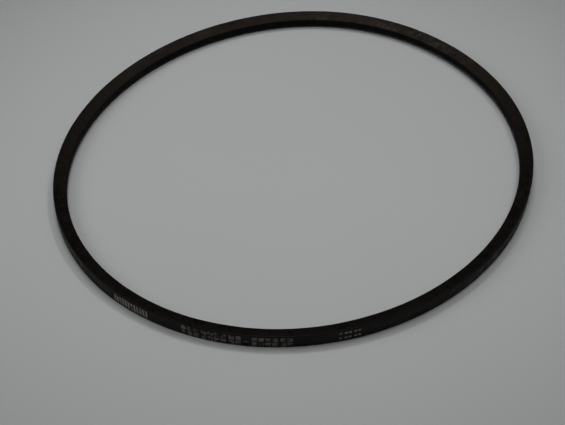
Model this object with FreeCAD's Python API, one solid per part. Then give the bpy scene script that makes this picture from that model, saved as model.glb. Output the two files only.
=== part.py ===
"""A wrapped narrow V-belt of section SPA, datum length 1250 mm, lying flat and slightly oval.

Origin: the middle of the loop, on the surface that it lies on.
Axes: +Z up through the loop, +X along the loop's long axis.

The section is a wedge. Its wide face looks outward, its narrow face looks inward, and its two
flanks, which bear on the pulley groove, slope between them. Depth is measured inward from the
wide face, and height up from the corner where the lower flank would meet it if it weren't rounded.
"""
import FreeCAD, Part
import math
import os

# Belt size
OUTSIDE_LENGTH = 1268.0  # round the wide face
TOP_WIDTH = 13.0  # between the flanks where they meet the wide face
BELT_HEIGHT = 10.5  # wide face to narrow face: 10 nominal, and the lapped jacket adds to it
FLANK_ANGLE = 20.0  # each flank, half of the 40 degree wedge
EDGE_RADIUS = 0.7  # the moulded edges

# Shape of the relaxed loop: how far its outline stands off a circle, and where each wave peaks
ARC_COUNT = 24
OVAL_STANDOFF = 8.5
EGG_STANDOFF = 1.0
EGG_PEAK = 44.0
SQUARE_STANDOFF = 0.65
SQUARE_PEAK = 47.5

# Fabric jacket
PLY_THICKNESS = 0.45
LAP_WIDTH = 2.6  # each ply's two edges overlap by this much

# Layers inside the jacket, as depths below the wide face
CORD_DEPTH = 2.8  # the datum line
GUM_THICKNESS = 0.95  # on each side of the cord line
BASE_PLY_DEPTH = 6.4  # between the two compression plies

# Tension cord
CORD_TURNS = 8
CORD_DIAMETER = 0.9
CORD_PITCH = 1.1

# Ink on the wide face, as plain bars. A place along the face is a length measured round it,
# counterclockwise from where it looks towards +X. A row's edges are from the face's middle.
# A print is groups of equal bars: how many bars each group has.
INK_THICKNESS = 0.05
BAR_GAP = 0.8
GROUP_GAP = 1.9
MARK_START = 656.5
MARK_GROUPS = (12,)
MARK_BAR = 2.0
MARK_ROWS = ((-4.0, 4.0),)
LEGEND_START = 717.9
LEGEND_GROUPS = (3, 4, 2, 1, 4, 2)
LEGEND_BAR = 4.2
LEGEND_ROWS = ((-5.2, -0.6), (0.2, 4.8))
LEGEND_DASH = 3  # the number of the group that is one thin bar, counted from 0
DASH_ROWS = ((-1.0, 0.2),)
BATCH_START = 837.1
BATCH_GROUPS = (1, 2, 2)
BATCH_BAR = 2.3
BATCH_ROWS = ((-3.2, -1.3), (2.3, 4.2))

UP = FreeCAD.Vector(0, 0, 1)
TAN_FLANK = math.tan(math.radians(FLANK_ANGLE))
COS_FLANK = math.cos(math.radians(FLANK_ANGLE))
ROUNDED_OFF = EDGE_RADIUS * (1 / COS_FLANK + TAN_FLANK - 1)  # so that the rounded edge rests on Z 0


def direction(angle):
    """The unit vector in the plane of the loop at this angle from +X, in degrees."""
    a = math.radians(angle)
    return FreeCAD.Vector(math.cos(a), math.sin(a), 0)


def bend_radius(angle):
    """The wide face's radius of curvature where it looks towards this angle, in degrees."""
    bend = OUTSIDE_LENGTH / (2 * math.pi)
    waves = ((2, OVAL_STANDOFF, 0), (3, EGG_STANDOFF, EGG_PEAK), (4, SQUARE_STANDOFF, SQUARE_PEAK))
    for order, standoff, peak in waves:
        bend -= (order**2 - 1) * standoff * math.cos(math.radians(order * (angle - peak)))
    return bend


def loop_arcs():
    """The tangent arcs that make up the loop's wide face: (centre, radius, first angle) each.

    Every arc turns by the same angle, so the arcs close on themselves.
    """
    turn = 360.0 / ARC_COUNT
    arcs = []
    start = FreeCAD.Vector(0, 0, 0)
    for i in range(ARC_COUNT):
        first = i * turn
        radius = bend_radius(first + turn / 2)
        centre = start - direction(first) * radius
        arcs.append((centre, radius, first))
        start = centre + direction(first + turn) * radius
    outline = Part.Wire([arc_edge(arc) for arc in arcs])
    middle = outline.BoundBox.Center
    return [(centre - middle, radius, first) for centre, radius, first in arcs]


def arc_edge(arc):
    centre, radius, first = arc
    turn = 360.0 / ARC_COUNT
    ends = [centre + direction(first + part * turn) * radius for part in (0, 0.5, 1)]
    return Part.Arc(*ends).toShape()


def section_point(depth, height):
    """A point of the section, drawn with the wide face on the Z axis and inward along -X."""
    return FreeCAD.Vector(-depth, 0, height - ROUNDED_OFF)


def flank_height(depth, inset=0.0):
    """The height of the lower flank at this depth, moved inward by inset."""
    return depth * TAN_FLANK + inset / COS_FLANK


def band(top, bottom, inset):
    """The corners of the wedge between two depths, inset from the flanks."""
    low_top, low_bottom = flank_height(top, inset), flank_height(bottom, inset)
    return [
        section_point(top, low_top),
        section_point(top, TOP_WIDTH - low_top),
        section_point(bottom, TOP_WIDTH - low_bottom),
        section_point(bottom, low_bottom),
    ]


def dented(start, end, width, dent):
    """The points of a straight side from start to end, with a step of this width in its middle."""
    middle = (start + end) * 0.5
    along = (end - start).normalize() * (width / 2)
    return [middle - along, middle - along + dent, middle + along + dent, middle + along]


def closed_wire(points):
    return Part.makePolygon(points + [points[0]])


def rounded_wire(corners, radius):
    """A closed wire through the corners, each rounded with a tangent arc."""
    edges, ends = [], []
    count = len(corners)
    for i, corner in enumerate(corners):
        before = (corners[i - 1] - corner).normalize()
        after = (corners[(i + 1) % count] - corner).normalize()
        half = before.getAngle(after) / 2
        reach = radius / math.tan(half)
        inward = (before + after).normalize()
        touch_in, touch_out = corner + before * reach, corner + after * reach
        crest = corner + inward * (radius / math.sin(half) - radius)
        edges.append(Part.Arc(touch_in, crest, touch_out).toShape())
        ends.append((touch_in, touch_out))
    sides = [Part.LineSegment(ends[i - 1][1], ends[i][0]).toShape() for i in range(count)]
    outline = [edge for pair in zip(sides, edges) for edge in pair]
    return Part.Wire(outline)


def ring(wire, arcs):
    """The closed solid that the section wire sweeps round the whole loop."""
    turn = 360.0 / ARC_COUNT
    faces = []
    for centre, radius, first in arcs:
        profile = wire.copy()
        profile.translate(FreeCAD.Vector(radius, 0, 0))
        swept = profile.revolve(FreeCAD.Vector(0, 0, 0), UP, turn)
        swept.rotate(FreeCAD.Vector(0, 0, 0), UP, first)
        swept.translate(centre)
        faces += swept.Faces
    shell = Part.makeShell(faces)
    shell.sewShape()
    return Part.makeSolid(shell.Shells[0])


def jacket_outside():
    return rounded_wire(band(0, BELT_HEIGHT, 0), EDGE_RADIUS)


def between_plies():
    """The boundary of the two plies, stepped in where the outer ply laps on the narrow face."""
    corners = band(PLY_THICKNESS, BELT_HEIGHT - PLY_THICKNESS, PLY_THICKNESS)
    lap = FreeCAD.Vector(PLY_THICKNESS, 0, 0)
    return closed_wire(corners[:3] + dented(corners[2], corners[3], LAP_WIDTH, lap) + corners[3:])


def jacket_inside():
    """The boundary of the jacket and the core, stepped in at both plies' laps."""
    both = 2 * PLY_THICKNESS
    corners = band(both, BELT_HEIGHT - both, both)
    lap = FreeCAD.Vector(PLY_THICKNESS, 0, 0)
    wide_side = dented(corners[0], corners[1], LAP_WIDTH, lap * -1)
    narrow_side = dented(corners[2], corners[3], LAP_WIDTH + both, lap)
    return closed_wire(corners[:1] + wide_side + corners[1:3] + narrow_side + corners[3:])


def cord_heights():
    first = TOP_WIDTH / 2 - (CORD_TURNS - 1) * CORD_PITCH / 2
    return [first + i * CORD_PITCH for i in range(CORD_TURNS)]


def tension_rubber_section():
    """The layer over the cords, notched where the inner ply laps on the wide face."""
    both = 2 * PLY_THICKNESS
    corners = band(both, CORD_DEPTH - GUM_THICKNESS, both)
    lap = FreeCAD.Vector(-PLY_THICKNESS, 0, 0)
    return closed_wire(corners[:1] + dented(corners[0], corners[1], LAP_WIDTH, lap) + corners[1:])


def gum_section(side):
    """A gum layer with half of each cord's channel in it: side -1 lies over the cords, 1 under."""
    both = 2 * PLY_THICKNESS
    far = CORD_DEPTH + side * GUM_THICKNESS
    far_low, near_low = flank_height(far, both), flank_height(CORD_DEPTH, both)
    radius = CORD_DIAMETER / 2
    edges = []
    here = section_point(CORD_DEPTH, near_low)
    for height in cord_heights():
        entry = section_point(CORD_DEPTH, height - radius)
        crest = section_point(CORD_DEPTH + side * radius, height)
        leave = section_point(CORD_DEPTH, height + radius)
        edges.append(Part.LineSegment(here, entry).toShape())
        edges.append(Part.Arc(entry, crest, leave).toShape())
        here = leave
    back = [
        here,
        section_point(CORD_DEPTH, TOP_WIDTH - near_low),
        section_point(far, TOP_WIDTH - far_low),
        section_point(far, far_low),
        section_point(CORD_DEPTH, near_low),
    ]
    for start, end in zip(back, back[1:]):
        edges.append(Part.LineSegment(start, end).toShape())
    return Part.Wire(edges)


def upper_base_section():
    both = 2 * PLY_THICKNESS
    return closed_wire(band(CORD_DEPTH + GUM_THICKNESS, BASE_PLY_DEPTH, both))


def lower_base_section():
    """The innermost rubber, notched where the outer ply laps on the narrow face."""
    both = 2 * PLY_THICKNESS
    corners = band(BASE_PLY_DEPTH, BELT_HEIGHT - both, both)
    lap = FreeCAD.Vector(PLY_THICKNESS, 0, 0)
    narrow_side = dented(corners[2], corners[3], LAP_WIDTH + both, lap)
    return closed_wire(corners[:3] + narrow_side + corners[3:])


def cord_section(height):
    circle = Part.Circle(section_point(CORD_DEPTH, height), FreeCAD.Vector(0, 1, 0), CORD_DIAMETER / 2)
    return Part.Wire([circle.toShape()])


def ink_bar(arcs, start, end, row):
    """A film of ink on the wide face, from start to end along it and over this row of heights."""
    low, high = (TOP_WIDTH / 2 + edge for edge in row)
    turn = math.radians(360.0 / ARC_COUNT)
    corners = ((0, low), (0, high), (-INK_THICKNESS, high), (-INK_THICKNESS, low))
    outline = closed_wire([section_point(depth, height) for depth, height in corners])
    reached = 0.0
    films = []
    for centre, radius, first in arcs:
        begin, finish = max(start, reached), min(end, reached + radius * turn)
        if finish > begin:
            film = Part.Face(outline)
            film.translate(FreeCAD.Vector(radius, 0, 0))
            film = film.revolve(FreeCAD.Vector(0, 0, 0), UP, math.degrees((finish - begin) / radius))
            film.rotate(FreeCAD.Vector(0, 0, 0), UP, first + math.degrees((begin - reached) / radius))
            film.translate(centre)
            films.append(film)
        reached += radius * turn
    return films[0].fuse(films[1:]) if len(films) > 1 else films[0]


def bar_places(start, groups, length):
    """Each bar's group number, and its start and end along the face."""
    places = []
    for number, count in enumerate(groups):
        for _ in range(count):
            places.append((number, start, start + length))
            start += length + BAR_GAP
        start += GROUP_GAP - BAR_GAP
    return places


def bar_mark(arcs):
    """A plain row of upright bars."""
    bars = []
    for _, start, end in bar_places(MARK_START, MARK_GROUPS, MARK_BAR):
        bars += [ink_bar(arcs, start, end, row) for row in MARK_ROWS]
    return Part.makeCompound(bars)


def size_legend(arcs):
    """Two rows of bars in groups, with one thin dash between them."""
    bars = []
    for group, start, end in bar_places(LEGEND_START, LEGEND_GROUPS, LEGEND_BAR):
        rows = DASH_ROWS if group == LEGEND_DASH else LEGEND_ROWS
        bars += [ink_bar(arcs, start, end, row) for row in rows]
    return Part.makeCompound(bars)


def batch_code(arcs):
    """Two short rows of small bars."""
    bars = []
    for _, start, end in bar_places(BATCH_START, BATCH_GROUPS, BATCH_BAR):
        bars += [ink_bar(arcs, start, end, row) for row in BATCH_ROWS]
    return Part.makeCompound(bars)


def save(name, shape):
    shape.exportStep(os.path.join("parts", name + ".step"))
    print(name, "valid" if shape.isValid() else "NOT VALID", len(shape.Solids), round(shape.Volume, 1))


def main():
    os.makedirs("parts", exist_ok=True)
    arcs = loop_arcs()
    outside, middle, inside = (ring(w, arcs) for w in (jacket_outside(), between_plies(), jacket_inside()))
    save("jacket_outer_ply", outside.cut(middle))
    save("jacket_inner_ply", middle.cut(inside))
    save("tension_rubber", ring(tension_rubber_section(), arcs))
    save("adhesion_gum_over_cords", ring(gum_section(-1), arcs))
    save("adhesion_gum_under_cords", ring(gum_section(1), arcs))
    save("compression_rubber_upper_ply", ring(upper_base_section(), arcs))
    save("compression_rubber_lower_ply", ring(lower_base_section(), arcs))
    for number, height in enumerate(cord_heights(), start=1):
        save(f"tension_cord_turn_{number}", ring(cord_section(height), arcs))
    save("printed_bar_mark", bar_mark(arcs))
    save("printed_size_legend", size_legend(arcs))
    save("printed_batch_code", batch_code(arcs))


main()
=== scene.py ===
"""Looks of a wrapped narrow V-belt that lies on a pale surface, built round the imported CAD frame."""
import math

import bpy
import numpy as np
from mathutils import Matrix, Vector
from mathutils.kdtree import KDTree


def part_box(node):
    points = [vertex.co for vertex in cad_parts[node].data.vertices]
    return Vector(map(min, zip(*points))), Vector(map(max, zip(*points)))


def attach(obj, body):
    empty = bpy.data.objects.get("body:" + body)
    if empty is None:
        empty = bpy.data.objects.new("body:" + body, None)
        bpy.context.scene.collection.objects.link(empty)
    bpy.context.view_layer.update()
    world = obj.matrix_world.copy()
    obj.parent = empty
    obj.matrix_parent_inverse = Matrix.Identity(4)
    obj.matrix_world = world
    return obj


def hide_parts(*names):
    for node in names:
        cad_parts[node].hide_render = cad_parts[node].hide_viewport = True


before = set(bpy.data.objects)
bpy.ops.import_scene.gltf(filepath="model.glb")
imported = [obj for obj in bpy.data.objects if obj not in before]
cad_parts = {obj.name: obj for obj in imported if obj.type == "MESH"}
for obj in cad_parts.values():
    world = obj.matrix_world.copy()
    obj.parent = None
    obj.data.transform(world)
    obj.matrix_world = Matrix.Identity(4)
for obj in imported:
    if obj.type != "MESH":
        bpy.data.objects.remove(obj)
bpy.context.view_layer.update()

MM = 0.001  # lengths are in metres
CLOTH_UV = "cloth"

# The belt's own sizes, as its CAD solids have them
OUTSIDE_LENGTH = 1268 * MM
TOP_WIDTH = 13 * MM
BELT_HEIGHT = 10.5 * MM
FLANK_ANGLE = math.radians(20)
ARC_COUNT = 24
ARC_TURN = 2 * math.pi / ARC_COUNT
# How far the relaxed loop stands off a circle: waves round the loop, metres, degrees of the peak
WAVES = ((2, 8.5 * MM, 0), (3, 1.0 * MM, 44.0), (4, 0.65 * MM, 47.5))

# The jacket's moulded edges, and how finely its surface is divided
WIDE_EDGE_RADIUS = 0.7 * MM
NARROW_EDGE_RADIUS = 0.8 * MM
STATIONS_PER_ARC = 48
WIDE_FACE_STEPS = 14
FLANK_STEPS = 12
NARROW_FACE_STEPS = 12
WIDE_EDGE_STEPS = 7
NARROW_EDGE_STEPS = 5

# Relief of the jacket
UNDULATION = 0.05 * MM
FLANK_HOLLOW = 0.12 * MM
FACE_CROWN = 0.06 * MM
LAP_STEP = 0.2 * MM
LAP_SLOPE = 0.35 * MM
LAP_FADE = 2.4 * MM
LAP_SWAY = 0.3 * MM
SPLICE_PLACES = (0.11, 0.47, 0.83)  # where the jacket's cloth is joined, as shares of the loop
SPLICE_STEP = 0.1 * MM
SPLICE_SLOPE = 0.9 * MM
SPLICE_FADE = 9 * MM
RIPPLE_WAVES = 24  # how many waves make up one random relief

# Cloth and cord
THREAD_PITCH = 0.62 * MM
YARN_PITCH = 0.8 * MM
YARN_LAY = 1.2  # how steeply a cord's yarns climb round it
MEAN_RADIUS = 0.2  # of the loop, to count threads and yarns round it

# How the printed CAD nodes' bars are found on the wide face
SAME_PLACE = 0.001 * MM
PATH_STEP = 0.1 * MM

# Ink films on the wide face. More wear leaves less of the ink.
INK_RISE = 0.03 * MM
INK_ROOT = 0.06 * MM
INK_GRAIN = 0.4 * MM
INK_RAGGED = 0.16 * MM
INK_RAGGED_ACROSS = 9  # how much faster an end's raggedness changes than the relief does across the face
INK_PATCH_SPREAD = 0.1  # either side of the wear, how gradually patches of ink give out
INK_FLECK_SPREAD = (0.16, 0.06)  # below and above the wear, how gradually flecks do
LEGEND_WEAR = 0.48
MARK_WEAR = 0.36
BATCH_WEAR = 0.27

# Colours, in linear light
FACE_BLACK = (0.0066, 0.0063, 0.0060)
FLANK_BROWN = (0.0082, 0.0059, 0.0043)
DUST_GREY = (0.022, 0.020, 0.017)
RUBBED_GREY = (0.021, 0.020, 0.019)
# random mottle, and painted shade in the weave's hollows and on the narrow face
MOTTLE_AND_PAINTED_SHADE_BLACK = (0.003, 0.003, 0.003)
FIBRE_GREY = (0.09, 0.085, 0.075)
INNER_CLOTH_DARK = (0.016, 0.015, 0.014)
INNER_CLOTH_LIGHT = (0.03, 0.027, 0.024)
TENSION_RUBBER_DARK = (0.012, 0.012, 0.012)
TENSION_RUBBER_LIGHT = (0.022, 0.021, 0.020)
GUM_DARK = (0.02, 0.017, 0.013)
GUM_LIGHT = (0.034, 0.028, 0.021)
BASE_RUBBER_DARK = (0.010, 0.010, 0.010)
BASE_RUBBER_LIGHT = (0.019, 0.018, 0.017)
CORD_DARK = (0.30, 0.23, 0.15)
CORD_LIGHT = (0.42, 0.34, 0.23)
# painted shade in the grooves between a cord's yarns
CORD_PAINTED_GROOVE_SHADE = (0.10, 0.07, 0.045)
INK_GREY = (0.19, 0.186, 0.175)
INK_PALE = (0.38, 0.371, 0.35)
INK_BRIGHT = (0.30, 0.294, 0.276)
INK_BRIGHT_PALE = (0.47, 0.46, 0.43)
FLOOR_LOW = (0.614, 0.692, 0.790)
FLOOR_HIGH = (0.646, 0.729, 0.833)
# the colour of the floor's painted shade
PAINTED_SHADE_BLACK = (0.0, 0.0, 0.0)

# The floor
FLOOR_SIZE = 16
PAINTED_SHADE_START = 0.22  # out to this distance the floor has no painted shade, and is at its palest
PAINTED_SHADE_FULL = 0.60  # beyond this one its painted shade, which stands in for the light falling off, is at its deepest
PAINTED_SHADE_DEPTH = 0.3  # the share of its colour that the painted shade takes away there

# The camera's own plan frame: its right is X and its far side Y. The loop's long axis is turned
# from it, and the loop's middle stands off the point that the camera looks at.
LOOP_TURN = math.radians(41.7)
LOOP_OFFSET = (0.0117, 0.0620)
OFF_CENTRE = (0.00065, 0.00072)  # the loop's middle from the middle of its box
CAMERA_DISTANCE = 0.9012
CAMERA_ELEVATION = math.radians(45.985)
LENS = 69.55
SENSOR_WIDTH = 36
CLIP_END = 20

LIGHT_COLOUR = (1.0, 0.90, 0.79)  # warm light on a cool floor, so the floor looks neutral
SKY_STRENGTH = 0.16  # straight up, fading to nothing at the horizon
DISPLAY_GAMMA = 0.75  # deepens the blacks, as a camera's own tone curve does
# Name, bearing and elevation in degrees, distance, width, height, power in watts
LAMPS = (
    ("right_window", 33, 64, 3.0, 1.2, 0.3, 11.8),
    ("far_window", 108, 66, 3.0, 1.2, 0.3, 14.2),
    ("left_side", 185, 38, 2.0, 1.2, 1.2, 6.4),
    ("near_ceiling", 270, 74, 3.0, 1.0, 0.4, 11.5),
)
OVERHEAD_HEIGHT = 1.5
OVERHEAD_POWER = 10.0
OVERHEAD_CONE = math.radians(34)
OVERHEAD_RADIUS = 0.2


# --- the belt's path, section and surface ----------------------------------------------------

def directions(angles):
    """Unit vectors at these angles, as (out, up) or (x, y) pairs."""
    return np.stack([np.cos(angles), np.sin(angles)], axis=-1)


def bend_radius(angle):
    """The wide face's radius of curvature where it looks towards this angle, in degrees."""
    bend = OUTSIDE_LENGTH / (2 * math.pi)
    for order, standoff, peak in WAVES:
        bend -= (order**2 - 1) * standoff * math.cos(math.radians(order * (angle - peak)))
    return bend


def station_angles():
    """The angle at each station, one row to an arc."""
    parts = np.arange(STATIONS_PER_ARC) / STATIONS_PER_ARC
    return (np.arange(ARC_COUNT)[:, None] + parts) * ARC_TURN


def loop_arcs():
    """The tangent arcs of the wide face: their centres, radii, and the length where each starts."""
    radii = np.array([bend_radius((i + 0.5) * 360 / ARC_COUNT) for i in range(ARC_COUNT)])
    first = directions(np.arange(ARC_COUNT) * ARC_TURN)
    last = directions(np.arange(1, ARC_COUNT + 1) * ARC_TURN)
    spans = radii[:, None] * (last - first)
    starts = np.cumsum(spans, axis=0) - spans
    centres = starts - radii[:, None] * first
    outline = centres[:, None] + radii[:, None, None] * directions(station_angles())
    outline = outline.reshape(-1, 2)
    low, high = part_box("jacket_outer_ply")
    middle = (np.array(low)[:2] + np.array(high)[:2]) / 2
    centres += middle - (outline.min(0) + outline.max(0)) / 2
    lengths = radii * ARC_TURN
    return centres, radii, np.cumsum(lengths) - lengths


CENTRES, RADII, ARC_STARTS = loop_arcs()


def path_at(along):
    """Points of the wide face's path at these lengths round it, and the directions it faces."""
    along = np.mod(along, OUTSIDE_LENGTH)
    arc = np.searchsorted(ARC_STARTS, along, side="right") - 1
    facing = directions(arc * ARC_TURN + (along - ARC_STARTS[arc]) / RADII[arc])
    return CENTRES[arc] + RADII[arc][..., None] * facing, facing


# What each row of the section holds, by column: the point's place out from the wide face and up,
# its normal out and up, whether it is on a rounded edge, and how much of the wide face's crown and
# of a flank's hollow it has
OUT, UP, NORMAL_OUT, NORMAL_UP, ON_EDGE, CROWN_SHARE, HOLLOW_SHARE = range(7)


def section_rows():
    """The section's points, a row to each, up the wide face first and then on round it."""
    rise = BELT_HEIGHT * math.tan(FLANK_ANGLE)
    wide_corners = [(0, 0), (0, TOP_WIDTH)]
    narrow_corners = [(-BELT_HEIGHT, TOP_WIDTH - rise), (-BELT_HEIGHT, rise)]
    corners = np.array(wide_corners + narrow_corners)
    radii = (WIDE_EDGE_RADIUS, WIDE_EDGE_RADIUS, NARROW_EDGE_RADIUS, NARROW_EDGE_RADIUS)
    edge_steps = (WIDE_EDGE_STEPS, WIDE_EDGE_STEPS, NARROW_EDGE_STEPS, NARROW_EDGE_STEPS)
    side_steps = (WIDE_FACE_STEPS, FLANK_STEPS, NARROW_FACE_STEPS, FLANK_STEPS)
    edges = []  # each rounded edge's centre, radius and normals
    for i, radius in enumerate(radii):
        before = corners[i - 1] - corners[i]
        after = corners[(i + 1) % 4] - corners[i]
        before = before / np.linalg.norm(before)
        after = after / np.linalg.norm(after)
        half = math.acos(float(before @ after)) / 2
        inward = (before + after) / np.linalg.norm(before + after)
        centre = corners[i] + inward * radius / math.sin(half)
        first = corners[i] + before * radius / math.tan(half) - centre
        turns = (math.pi - 2 * half) * np.linspace(0, 1, edge_steps[i] + 1)
        edges.append((centre, radius, directions(math.atan2(first[1], first[0]) + turns)))
    rows = []
    # Each edge is followed by a side: 0 is the wide face, 1 and 3 are the flanks, 2 the narrow face
    for i, (centre, radius, normals) in enumerate(edges):
        rows += [(*(centre + radius * normal), *normal, 1, 0, 0) for normal in normals]
        next_centre, next_radius, next_normals = edges[(i + 1) % 4]
        start = centre + radius * normals[-1]
        end = next_centre + next_radius * next_normals[0]
        for part in np.arange(1, side_steps[i]) / side_steps[i]:
            swell = math.sin(math.pi * part)
            shape = (swell, 0) if i == 0 else (0, swell * (i % 2))
            rows.append((*(start + (end - start) * part), *normals[-1], 0, *shape))
    rows = np.array(rows)
    rows[:, UP] -= rows[:, UP].min()  # so that the rounded edge rests on the floor
    return rows


SECTION = section_rows()
CLOSED_SECTION = np.vstack([SECTION, SECTION[:1]])
STEPS = np.linalg.norm(np.diff(CLOSED_SECTION[:, [OUT, UP]], axis=0), axis=1)
AROUND = np.concatenate([[0], np.cumsum(STEPS)])  # each point's length round the section
GIRTH = AROUND[-1]
WIDE_FACE_ROWS = WIDE_FACE_STEPS + 2 * WIDE_EDGE_STEPS + 1
# The middle of the narrow face, where the jacket's cloth laps
LAP_ROW = WIDE_FACE_ROWS + FLANK_STEPS + NARROW_EDGE_STEPS - 1 + NARROW_FACE_STEPS // 2
LAP_PLACE = AROUND[LAP_ROW]


def ripple(along, around, seed, shortest, longest):
    """A smooth random relief, about 1 high, that closes round the loop and round the section.

    Along the belt its waves are from the shortest to the longest of these lengths.
    """
    draw = np.random.default_rng(seed)
    total = 0
    for _ in range(RIPPLE_WAVES):
        turns = round(OUTSIDE_LENGTH / draw.uniform(shortest, longest))
        lobes = draw.integers(-3, 4)
        phase = draw.uniform(0, 2 * math.pi)
        cycles = turns * along / OUTSIDE_LENGTH + lobes * around / GIRTH
        total = total + np.sin(2 * math.pi * cycles + phase)
    return total / math.sqrt(RIPPLE_WAVES)


def ease(value):
    """A smooth step from 0 to 1 while the value goes from 0 to 1."""
    value = np.clip(value, 0, 1)
    return value * value * (3 - 2 * value)


def relief(along, around):
    """How far the jacket stands off the plain section."""
    crown = np.interp(around, AROUND, CLOSED_SECTION[:, CROWN_SHARE])
    hollow = np.interp(around, AROUND, CLOSED_SECTION[:, HOLLOW_SHARE])
    height = FACE_CROWN * crown - FLANK_HOLLOW * hollow
    height = height + UNDULATION * ripple(along, around, seed=3, shortest=18 * MM, longest=140 * MM)
    sway = LAP_SWAY * ripple(along, 0, seed=5, shortest=20 * MM, longest=90 * MM)
    past_lap = around - LAP_PLACE - sway
    height = height - LAP_STEP * ease(past_lap / LAP_SLOPE) * (1 - ease(past_lap / LAP_FADE))
    from_lap = np.mod(around - LAP_PLACE, GIRTH) - GIRTH / 2
    for place in SPLICE_PLACES:
        past = along - place * OUTSIDE_LENGTH - from_lap
        height = height - SPLICE_STEP * ease(past / SPLICE_SLOPE) * (1 - ease(past / SPLICE_FADE))
    return height


def surface(along, around, lift=0.0):
    """Points of the jacket at these lengths along the loop and around the section."""
    path, facing = path_at(along)
    columns = (OUT, UP, NORMAL_OUT, NORMAL_UP)
    out, up, normal_out, normal_up = (np.interp(around, AROUND, CLOSED_SECTION[:, i]) for i in columns)
    height = relief(along, around) + lift
    sideways = out + normal_out * height
    level = np.maximum(up + normal_up * height, 0)  # the foot is flat where it rests on the floor
    return np.concatenate([path + facing * sideways[..., None], level[..., None]], axis=-1)


# --- meshes ----------------------------------------------------------------------------------

def mesh_object(name, points, faces, cloth_places, material):
    """A smooth mesh piece that rides on the belt. Its UV map holds lengths along and around it."""
    mesh = bpy.data.meshes.new(name)
    mesh.from_pydata(points.tolist(), [], faces.tolist())
    layer = mesh.uv_layers.new(name=CLOTH_UV)
    layer.data.foreach_set("uv", cloth_places.astype(np.float32).ravel())
    mesh.polygons.foreach_set("use_smooth", np.ones(len(mesh.polygons), bool))
    mesh.materials.append(material)
    mesh.update()
    piece = bpy.data.objects.new(name, mesh)
    bpy.context.scene.collection.objects.link(piece)
    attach(piece, "root")
    return piece


def grid_faces(rows, columns, wrap_rows, wrap_columns):
    """The quads of a grid, as indices of its corners and as their unwrapped rows and columns."""
    i, k = np.meshgrid(np.arange(rows if wrap_rows else rows - 1),
                       np.arange(columns if wrap_columns else columns - 1), indexing="ij")
    i, k = i.ravel(), k.ravel()
    row = np.stack([i, i + 1, i + 1, i], axis=-1)
    column = np.stack([k, k, k + 1, k + 1], axis=-1)
    return (row % rows) * columns + column % columns, row, column


def jacket(material):
    """The jacket's surface, closed round the loop and round the section."""
    parts = RADII[:, None] * ARC_TURN * np.arange(STATIONS_PER_ARC) / STATIONS_PER_ARC
    along = np.append((ARC_STARTS[:, None] + parts).ravel(), OUTSIDE_LENGTH)
    stations = len(along) - 1
    points = surface(*np.meshgrid(along[:-1], AROUND[:-1], indexing="ij")).reshape(-1, 3)
    faces, row, column = grid_faces(stations, len(SECTION), wrap_rows=True, wrap_columns=True)
    places = np.stack([along[row], AROUND[column]], axis=-1)
    piece = mesh_object("rubberised_cloth_jacket", points, faces, places, material)
    shares = {
        "edge": SECTION[:, ON_EDGE],
        "flank": abs(SECTION[:, NORMAL_UP]),
        "inner": -SECTION[:, NORMAL_OUT],
    }
    for name, share in shares.items():
        spread = piece.data.attributes.new(name, "FLOAT", "POINT")
        spread.data.foreach_set("value", np.tile(share, stations).astype(np.float32))
    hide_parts("jacket_outer_ply")


def joined_points(mesh, points):
    """A label for each point of a mesh, the same for all the points that its edges join up."""
    _, owner = np.unique(np.round(points / SAME_PLACE), axis=0, return_inverse=True)
    owner = owner.ravel()
    ends = owner[np.array([e.vertices for e in mesh.edges])]
    group = np.arange(owner.max() + 1)
    before = None
    while before is None or (group != before).any():
        before = group.copy()
        least = group[ends].min(axis=1)
        np.minimum.at(group, ends[:, 0], least)
        np.minimum.at(group, ends[:, 1], least)
        group = group[group]
    return group[owner]


def lengths_along(points):
    """How far round the wide face's path each point is."""
    along = np.arange(0, OUTSIDE_LENGTH, PATH_STEP)
    path, _ = path_at(along)
    tree = KDTree(len(path))
    for i, (x, y) in enumerate(path):
        tree.insert((x, y, 0), i)
    tree.balance()
    return np.array([along[tree.find((x, y, 0))[1]] for x, y, _ in points])


def bars(node):
    """The bars of a printed CAD node, each as (start, end, lowest, highest).

    Start and end are lengths along the face, and lowest and highest are heights.
    """
    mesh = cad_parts[node].data
    points = np.array([v.co for v in mesh.vertices])
    label = joined_points(mesh, points)
    places = lengths_along(points)
    found = []
    for bar in np.unique(label):
        lengths = places[label == bar]
        heights = points[label == bar, 2]
        found.append((lengths.min(), lengths.max(), heights.min(), heights.max()))
    return found


def film_faces(columns, rows):
    """The faces of a thin closed film: a grid on top, the same grid below it, and a skirt between."""
    size = columns * rows
    top, _, _ = grid_faces(columns, rows, wrap_rows=False, wrap_columns=False)
    first_side = np.arange(rows)
    far_side = np.arange(2, columns) * rows - 1
    last_side = np.arange(size - 1, size - rows - 1, -1)
    near_side = np.arange(columns - 2, 0, -1) * rows
    ring = np.concatenate([first_side, far_side, last_side, near_side])
    after = np.roll(ring, -1)
    skirt = np.stack([ring, after, after + size, ring + size], axis=-1)
    return np.concatenate([top, top[:, ::-1] + size, skirt])


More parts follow.
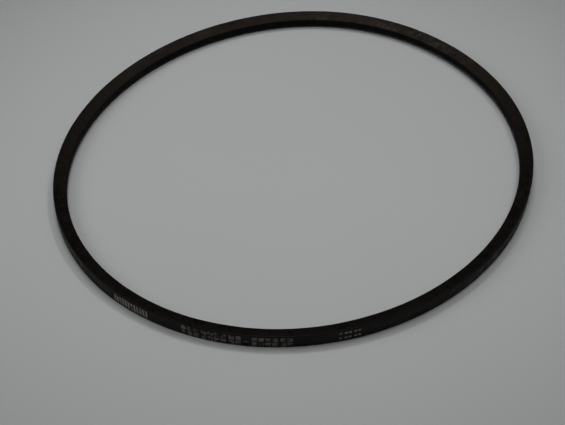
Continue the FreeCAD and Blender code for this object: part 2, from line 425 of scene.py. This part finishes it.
def bar_film(start, end, low, high):
    """One bar's film of ink, with ragged edges: its points, its faces and its places on the cloth."""
    columns = max(3, round((end - start) / INK_GRAIN)) + 1
    rows = max(3, round((high - low) / INK_GRAIN)) + 1
    lengths = np.linspace(start, end, columns)
    heights = np.linspace(low, high, rows)
    along, height = np.meshgrid(lengths, heights, indexing="ij")
    across = np.interp(height, SECTION[:WIDE_FACE_ROWS, UP], AROUND[:WIDE_FACE_ROWS])
    inset = np.linspace(-1, 1, columns)[:, None]
    ragged = 1 + ripple(start, across * INK_RAGGED_ACROSS, seed=11, shortest=1 * MM, longest=3 * MM)
    along = along - INK_RAGGED * inset * ragged / 2
    inset = np.linspace(-1, 1, rows)[None, :]
    ragged = 1 + ripple(along, low, seed=13, shortest=0.8 * MM, longest=3 * MM)
    across = across - INK_RAGGED * inset * ragged / 2
    top = surface(along, across, INK_RISE).reshape(-1, 3)
    root = surface(along, across, -INK_ROOT).reshape(-1, 3)
    places = np.tile(np.stack([along.ravel(), across.ravel()], axis=-1), (2, 1))
    return np.concatenate([top, root]), film_faces(columns, rows), places


def print_of(node, name, material):
    """The ink of a printed node: a thin film on the jacket's wide face for each bar."""
    all_points = []
    all_faces = []
    all_places = []
    count = 0
    for bar in bars(node):
        points, faces, places = bar_film(*bar)
        all_points.append(points)
        all_faces.append(faces + count)
        all_places.append(places[faces])
        count += len(points)
    piece = mesh_object(name, np.concatenate(all_points), np.concatenate(all_faces),
                        np.concatenate(all_places), material)
    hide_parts(node)


# --- materials -------------------------------------------------------------------------------

class Surface:
    """A material under way: each method adds a node and gives its output socket."""

    def __init__(self, name, specular, sheen=0.0):
        self.material = bpy.data.materials.new(name)
        self.material.use_nodes = True
        self.tree = self.material.node_tree
        self.shader = self.tree.nodes["Principled BSDF"]
        self.shader.inputs["Specular IOR Level"].default_value = specular
        self.shader.inputs["Sheen Weight"].default_value = sheen

    def node(self, kind, inputs, output, **settings):
        """Adds a node. Each input is a socket to link or a value to set, and None leaves it alone."""
        node = self.tree.nodes.new("ShaderNode" + kind)
        for name, value in settings.items():
            setattr(node, name, value)
        for key, value in inputs.items():
            if isinstance(value, bpy.types.NodeSocket):
                self.tree.links.new(value, node.inputs[key])
            elif value is not None:
                node.inputs[key].default_value = value
        return node.outputs[output]

    def math(self, operation, a, b=None):
        """The outcome of this operation on one value or two, each a socket or a number."""
        return self.node("Math", {0: a, 1: b}, 0, operation=operation)

    def place(self):
        """The point on the piece, in metres."""
        return self.node("TexCoord", {}, "Object")

    def noise(self, per_metre, detail):
        """A cloudy value from 0 to 1, with about this many clouds to a metre."""
        inputs = {"Vector": self.place(), "Scale": per_metre, "Detail": detail}
        return self.node("TexNoise", inputs, "Fac")

    def range(self, value, low, high, to_low=0.0, to_high=1.0):
        """Goes smoothly from to_low to to_high while the value goes from low to high."""
        inputs = {"Value": value, "From Min": low, "From Max": high, "To Min": to_low, "To Max": to_high}
        return self.node("MapRange", inputs, "Result", interpolation_type="SMOOTHSTEP")

    def blend(self, share, first, second):
        """A colour between two, each a socket or an (r, g, b)."""
        first, second = ((*c, 1) if isinstance(c, tuple) else c for c in (first, second))
        # By number, because a Mix node has the same names once for each type of data
        return self.node("Mix", {0: share, 6: first, 7: second}, 2, data_type="RGBA")

    def attribute(self, name):
        """A share that the jacket's points hold."""
        return self.node("Attribute", {}, "Fac", attribute_name=name)

    def split(self, vector):
        """The three parts of a vector."""
        node = self.tree.nodes.new("ShaderNodeSeparateXYZ")
        self.tree.links.new(vector, node.inputs[0])
        return node.outputs

    def cloth(self):
        """Lengths along and around the belt, in metres."""
        along, around, _ = self.split(self.node("UVMap", {}, 0, uv_map=CLOTH_UV))
        return along, around

    def counts(self, pitch, slope=1.0):
        """How many threads of this pitch lie round the loop up to here, and up to this height.

        With a slope, the threads climb that much more steeply.
        """
        x, y, z = self.split(self.place())
        turned = self.math("MULTIPLY", self.math("ARCTAN2", y, x), MEAN_RADIUS / pitch)
        return turned, self.math("MULTIPLY", z, slope / pitch)

    def weave(self, first, second):
        """A bump, from 0 to 1, at each crossing of threads counted by these two."""
        waves = [self.math("SINE", self.math("MULTIPLY", count, math.pi)) for count in (first, second)]
        return self.math("POWER", self.math("ABSOLUTE", self.math("MULTIPLY", *waves)), 0.6)

    def bias_weave(self, pitch):
        """A cloth whose threads run at 45 degrees to the belt."""
        along, around = self.cloth()
        scale = math.sqrt(0.5) / pitch
        first = self.math("MULTIPLY", self.math("ADD", along, around), scale)
        second = self.math("MULTIPLY", self.math("SUBTRACT", along, around), scale)
        return self.weave(first, second)

    def add(self, first, first_share, second, second_share):
        """The sum of these shares of two values."""
        return self.math("ADD", self.math("MULTIPLY", first, first_share),
                         self.math("MULTIPLY", second, second_share))

    def finish(self, colour, roughness, height, depth):
        """Joins up the shader; height is a relief whose 0 to 1 is this depth, in metres."""
        self.tree.links.new(colour, self.shader.inputs["Base Color"])
        self.tree.links.new(roughness, self.shader.inputs["Roughness"])
        bump = self.node("Bump", {"Height": height, "Distance": depth}, "Normal")
        self.tree.links.new(bump, self.shader.inputs["Normal"])
        return self.material


def jacket_cloth():
    """Rubberised cloth: near black, browner and dustier on the flanks, rubbed on its edges, with painted
    shade in the weave's hollows and on the narrow face.
    """
    s = Surface("rubberised_cloth", specular=0.28)
    weave = s.bias_weave(THREAD_PITCH)
    blotch = s.noise(28, 4)
    mottle = s.noise(130, 4)
    speck = s.noise(420, 3)
    grain = s.noise(1800, 2)
    flank = s.range(s.attribute("flank"), 0.3, 0.95)
    edge = s.attribute("edge")
    inner = s.range(s.attribute("inner"), 0.5, 0.95)
    colour = s.blend(flank, FACE_BLACK, FLANK_BROWN)
    dust = s.math("MULTIPLY", s.range(blotch, 0.42, 0.72), s.range(speck, 0.35, 0.75))
    colour = s.blend(s.math("MULTIPLY", dust, 0.6), colour, DUST_GREY)
    colour = s.blend(s.range(mottle, 0.36, 0.62, 0.55, 0.0), colour, MOTTLE_AND_PAINTED_SHADE_BLACK)
    chalk = s.math("MULTIPLY", flank, s.range(speck, 0.44, 0.66, 0.0, 0.55))
    colour = s.blend(chalk, colour, DUST_GREY)
    rub = s.math("MULTIPLY", edge, s.range(s.add(speck, 0.6, blotch, 0.4), 0.4, 0.62))
    colour = s.blend(s.math("MULTIPLY", rub, 0.35), colour, RUBBED_GREY)
    # painted shade in the hollows of the weave
    colour = s.blend(s.range(weave, 0.0, 0.5, 0.35, 0.0), colour, MOTTLE_AND_PAINTED_SHADE_BLACK)
    # painted shade darkens the whole narrow face
    colour = s.blend(s.math("MULTIPLY", inner, 0.75), colour, MOTTLE_AND_PAINTED_SHADE_BLACK)
    roughness = s.range(blotch, 0.3, 0.7, 0.39, 0.53)
    roughness = s.add(roughness, 1.0, s.range(mottle, 0.3, 0.7, -0.08, 0.1), 1.0)
    roughness = s.add(roughness, 1.0, s.range(speck, 0.35, 0.65, -0.09, 0.09), 1.0)
    roughness = s.add(roughness, 1.0, inner, 0.25)
    height = s.add(weave, 0.6, grain, 0.4)
    return s.finish(colour, roughness, height, depth=0.035 * MM)


def worn_ink(name, wear, dark, pale):
    """Pale grey transfer ink that has broken up over the cloth: more wear leaves less of it."""
    s = Surface(name, specular=0.4)
    weave = s.bias_weave(THREAD_PITCH)
    patch = s.noise(260, 3)
    fleck = s.noise(900, 3)
    kept_patches = s.range(patch, wear - INK_PATCH_SPREAD, wear + INK_PATCH_SPREAD)
    below, above = INK_FLECK_SPREAD
    kept_flecks = s.range(s.add(fleck, 0.7, weave, 0.3), wear - below, wear + above)
    kept = s.math("MULTIPLY", kept_patches, kept_flecks)
    tone = s.blend(s.noise(120, 2), dark, pale)
    colour = s.blend(kept, FACE_BLACK, tone)
    height = s.add(weave, 0.7, kept, 0.3)
    return s.finish(colour, s.range(kept, 0, 1, 0.5, 0.62), height, depth=0.03 * MM)


def inner_cloth():
    """Frictioned cloth: its threads still show under the rubber that was rubbed into it, with painted
    shade in the weave's hollows.
    """
    s = Surface("frictioned_cloth", specular=0.35, sheen=0.1)
    turned, raised = s.counts(THREAD_PITCH)
    weave = s.weave(s.math("ADD", turned, raised), s.math("SUBTRACT", turned, raised))
    blotch = s.noise(60, 3)
    colour = s.blend(s.range(blotch, 0.35, 0.65), INNER_CLOTH_DARK, INNER_CLOTH_LIGHT)
    # painted shade in the hollows of the weave
    colour = s.blend(s.range(weave, 0, 0.6, 0.5, 0), colour, MOTTLE_AND_PAINTED_SHADE_BLACK)
    return s.finish(colour, s.range(blotch, 0.3, 0.7, 0.62, 0.78), weave, depth=0.08 * MM)


def rubber(name, dark, light, roughness):
    """Moulded rubber with short chopped fibre in it."""
    s = Surface(name, specular=0.4)
    cloud = s.noise(90, 4)
    grain = s.noise(1500, 3)
    fibre = s.range(s.noise(5200, 1), 0.66, 0.72)
    colour = s.blend(s.range(cloud, 0.35, 0.65), dark, light)
    colour = s.blend(s.math("MULTIPLY", fibre, 0.3), colour, FIBRE_GREY)
    uneven = s.range(grain, 0.3, 0.7, roughness - 0.06, roughness + 0.06)
    return s.finish(colour, uneven, s.add(grain, 0.7, cloud, 0.3), depth=0.05 * MM)


def cord_yarn():
    """Dipped polyester cord, its yarns laid round it, with painted shade in the grooves between them."""
    s = Surface("dipped_polyester_cord", specular=0.45, sheen=0.15)
    turned, raised = s.counts(YARN_PITCH, YARN_LAY)
    turns = s.math("MULTIPLY", s.math("ADD", turned, raised), 2 * math.pi)
    lay = s.range(s.math("SINE", turns), -1, 1)
    tone = s.noise(700, 3)
    colour = s.blend(s.range(tone, 0.3, 0.7), CORD_DARK, CORD_LIGHT)
    # painted shade in the grooves between the yarns
    colour = s.blend(s.range(lay, 0, 0.4, 0.6, 0), colour, CORD_PAINTED_GROOVE_SHADE)
    return s.finish(colour, s.range(tone, 0.3, 0.7, 0.42, 0.6), lay, depth=0.09 * MM)


def floor_paper():
    """Plain pale paper, with painted shade that dulls it away from its middle as the light falls off."""
    s = Surface("floor_paper", specular=0.2)
    cloud = s.noise(3, 2)
    tooth = s.noise(900, 2)
    colour = s.blend(cloud, FLOOR_LOW, FLOOR_HIGH)
    from_middle = s.node("VectorMath", {0: s.place()}, "Value", operation="LENGTH")
    # painted shade: the floor darkens away from its middle, as the light falls off
    colour = s.blend(s.range(from_middle, PAINTED_SHADE_START, PAINTED_SHADE_FULL, 0.0, PAINTED_SHADE_DEPTH), colour, PAINTED_SHADE_BLACK)
    return s.finish(colour, s.range(tooth, 0.3, 0.7, 0.82, 0.9), tooth, depth=0.02 * MM)


def dress(name, material):
    """Gives a CAD node this material."""
    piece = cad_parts[name]
    if piece.material_slots:
        for slot in piece.material_slots:
            slot.material = material
    else:
        piece.data.materials.append(material)


def inner_pieces():
    """The pieces inside the jacket keep their CAD shapes and get materials."""
    dress("jacket_inner_ply", inner_cloth())
    dress("tension_rubber", rubber("tension_rubber", TENSION_RUBBER_DARK, TENSION_RUBBER_LIGHT, 0.6))
    gum = rubber("adhesion_gum", GUM_DARK, GUM_LIGHT, 0.52)
    for name in ("adhesion_gum_over_cords", "adhesion_gum_under_cords"):
        dress(name, gum)
    base = rubber("base_rubber", BASE_RUBBER_DARK, BASE_RUBBER_LIGHT, 0.66)
    for name in ("compression_rubber_upper_ply", "compression_rubber_lower_ply"):
        dress(name, base)
    yarn = cord_yarn()
    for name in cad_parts:
        if name.startswith("tension_cord_turn_"):
            dress(name, yarn)


# --- stage -----------------------------------------------------------------------------------

def floor():
    bpy.ops.mesh.primitive_plane_add(size=FLOOR_SIZE, location=(0, 0, 0))
    plane = bpy.context.object
    plane.name = "floor"
    plane.data.materials.append(floor_paper())


def to_frame(right, away, up):
    """A point of the camera's plan frame in the model's frame."""
    x, y = right - LOOP_OFFSET[0], away - LOOP_OFFSET[1]
    c, s = math.cos(LOOP_TURN), math.sin(LOOP_TURN)
    low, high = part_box("jacket_outer_ply")
    middle = (low + high) / 2
    return Vector((middle.x + OFF_CENTRE[0] + c * x + s * y, middle.y + OFF_CENTRE[1] - s * x + c * y, up))


def camera():
    data = bpy.data.cameras.new("camera")
    data.lens = LENS
    data.sensor_width = SENSOR_WIDTH
    data.clip_end = CLIP_END
    eye = to_frame(0, -CAMERA_DISTANCE * math.cos(CAMERA_ELEVATION),
                   CAMERA_DISTANCE * math.sin(CAMERA_ELEVATION))
    cam = bpy.data.objects.new("camera", data)
    bpy.context.scene.collection.objects.link(cam)
    cam.location = eye
    cam.rotation_euler = (to_frame(0, 0, 0) - eye).to_track_quat("-Z", "Y").to_euler()
    bpy.context.scene.camera = cam


def area_light(name, bearing, elevation, distance, width, height, power):
    """A rectangular lamp that looks at the middle of the loop.

    Its bearing is counterclockwise from the camera's right.
    """
    data = bpy.data.lights.new(name, "AREA")
    data.shape = "RECTANGLE"
    data.size = width
    data.size_y = height
    data.energy = power
    data.color = LIGHT_COLOUR
    lamp = bpy.data.objects.new(name, data)
    bpy.context.scene.collection.objects.link(lamp)
    bearing, elevation = math.radians(bearing), math.radians(elevation)
    level = distance * math.cos(elevation)
    lamp.location = to_frame(LOOP_OFFSET[0] + level * math.cos(bearing),
                             LOOP_OFFSET[1] + level * math.sin(bearing), distance * math.sin(elevation))
    target = to_frame(*LOOP_OFFSET, 0)
    lamp.rotation_euler = (target - lamp.location).to_track_quat("-Z", "Y").to_euler()


def overhead_light():
    """A soft pool of light on the loop, so that the floor darkens a little towards its edges."""
    data = bpy.data.lights.new("overhead", "SPOT")
    data.energy = OVERHEAD_POWER
    data.color = LIGHT_COLOUR
    data.spot_size = OVERHEAD_CONE
    data.spot_blend = 1.0
    data.shadow_soft_size = OVERHEAD_RADIUS
    lamp = bpy.data.objects.new("overhead", data)
    bpy.context.scene.collection.objects.link(lamp)
    lamp.location = to_frame(*LOOP_OFFSET, OVERHEAD_HEIGHT)


def sky():
    """A soft sky that fades towards the horizon."""
    world = bpy.data.worlds.new("world")
    world.use_nodes = True
    nodes, links = world.node_tree.nodes, world.node_tree.links
    place = nodes.new("ShaderNodeTexCoord")
    split = nodes.new("ShaderNodeSeparateXYZ")
    fade = nodes.new("ShaderNodeMapRange")
    fade.interpolation_type = "SMOOTHSTEP"
    fade.inputs["To Max"].default_value = SKY_STRENGTH
    links.new(place.outputs["Generated"], split.inputs[0])
    links.new(split.outputs["Z"], fade.inputs["Value"])
    links.new(fade.outputs["Result"], nodes["Background"].inputs["Strength"])
    nodes["Background"].inputs["Color"].default_value = (*LIGHT_COLOUR, 1)
    bpy.context.scene.world = world


def lights():
    sky()
    for lamp in LAMPS:
        area_light(*lamp)
    overhead_light()
    bpy.context.scene.view_settings.view_transform = "Standard"
    bpy.context.scene.view_settings.gamma = DISPLAY_GAMMA


def main():
    jacket(jacket_cloth())
    mark_ink = worn_ink("bright_ink", MARK_WEAR, INK_BRIGHT, INK_BRIGHT_PALE)
    print_of("printed_bar_mark", "bar_mark_ink", mark_ink)
    legend_ink = worn_ink("worn_ink", LEGEND_WEAR, INK_GREY, INK_PALE)
    print_of("printed_size_legend", "size_legend_ink", legend_ink)
    batch_ink = worn_ink("batch_ink", BATCH_WEAR, INK_BRIGHT, INK_BRIGHT_PALE)
    print_of("printed_batch_code", "batch_code_ink", batch_ink)
    inner_pieces()
    floor()
    camera()
    lights()


main()
